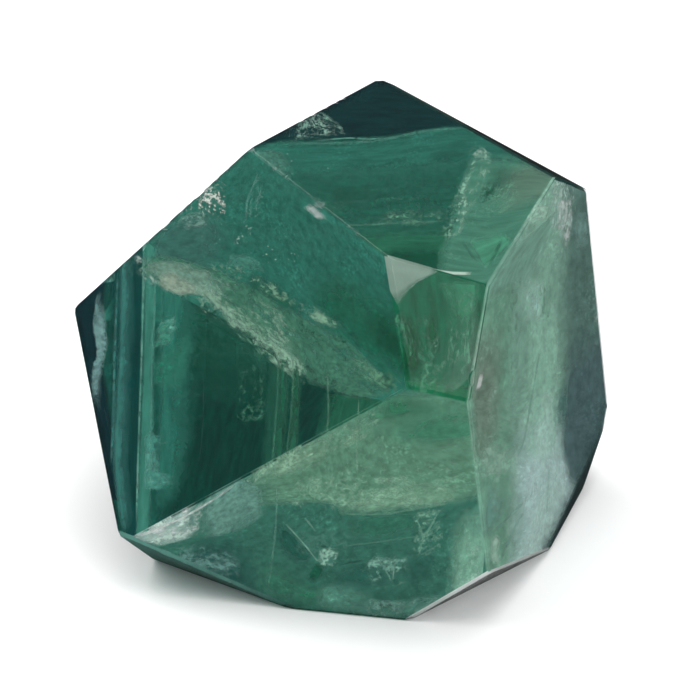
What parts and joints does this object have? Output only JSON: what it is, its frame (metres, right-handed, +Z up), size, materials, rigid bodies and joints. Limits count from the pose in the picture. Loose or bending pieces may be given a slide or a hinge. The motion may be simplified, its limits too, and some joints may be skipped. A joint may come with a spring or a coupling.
{
  "type": "fluorite octahedron",
  "caption": "Clear sea-green fluorite crystal, a lopsided octahedron with worn edges, a blunt dished tip, white veils and dark outer zones, lying on one face.",
  "frame": {"origin": "on the surface the crystal rests on, under the middle of its box", "axes": "+Z up, -Y towards the side with the blunt front tip, +X to the right seen from there"},
  "size_m": [0.0542, 0.048, 0.0419],
  "materials": {
    "clear_fluorite": "clear, polished by wear, with milky veils and growth zones inside"
  },
  "bodies": {
    "root": {"fluorite_octahedron": "clear_fluorite"}
  },
  "joints": []
}
